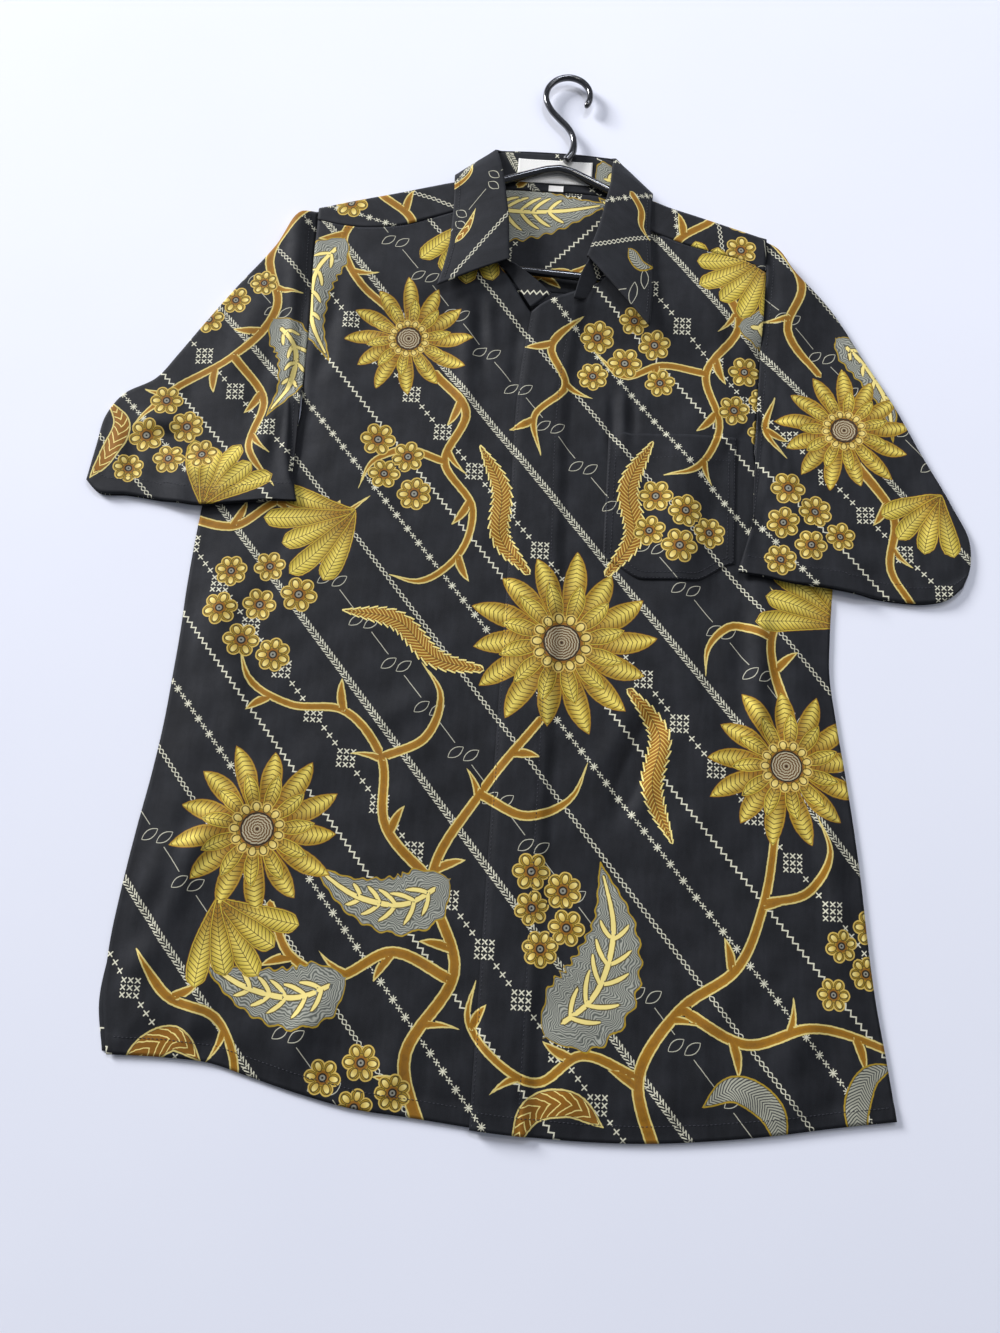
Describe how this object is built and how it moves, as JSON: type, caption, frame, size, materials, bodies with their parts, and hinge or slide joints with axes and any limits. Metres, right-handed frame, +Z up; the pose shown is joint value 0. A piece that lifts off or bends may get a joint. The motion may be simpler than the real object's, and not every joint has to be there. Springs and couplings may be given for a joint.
{
  "type": "batik shirt on hanger",
  "caption": "Short-sleeved patterned cotton shirt with a collar and concealed placket, laid flat front up with a thin tubular plastic hanger left inside its shoulders.",
  "frame": {"origin": "middle of the whole object's box in plan, on the surface it lies on", "axes": "+Z up away from the surface, +Y towards the collar and hanger hook, +X towards the wearer's left sleeve"},
  "size_m": [0.7136, 0.8904, 0.0221],
  "materials": {
    "batik_cotton": "printed plain weave cotton, dark ground with gold, ochre, grey and cream wax-resist pattern",
    "white_tape": "matt woven tape, bare",
    "black_button": "polished resin",
    "black_plastic": "smooth moulded plastic"
  },
  "bodies": {
    "root": {"front_right": "batik_cotton", "front_left": "batik_cotton", "back": "batik_cotton", "yoke": "batik_cotton", "sleeve_right": "batik_cotton", "sleeve_left": "batik_cotton", "collar_stand": "batik_cotton", "collar_fall": "batik_cotton", "chest_pocket": "batik_cotton", "neck_label": "white_tape", "size_tag": "white_tape", "fly_button_1": "black_button", "fly_button_2": "black_button", "fly_button_3": "black_button", "fly_button_4": "black_button", "fly_button_5": "black_button", "fly_button_6": "black_button", "hanger_frame": "black_plastic", "hanger_hook": "black_plastic"}
  },
  "joints": []
}
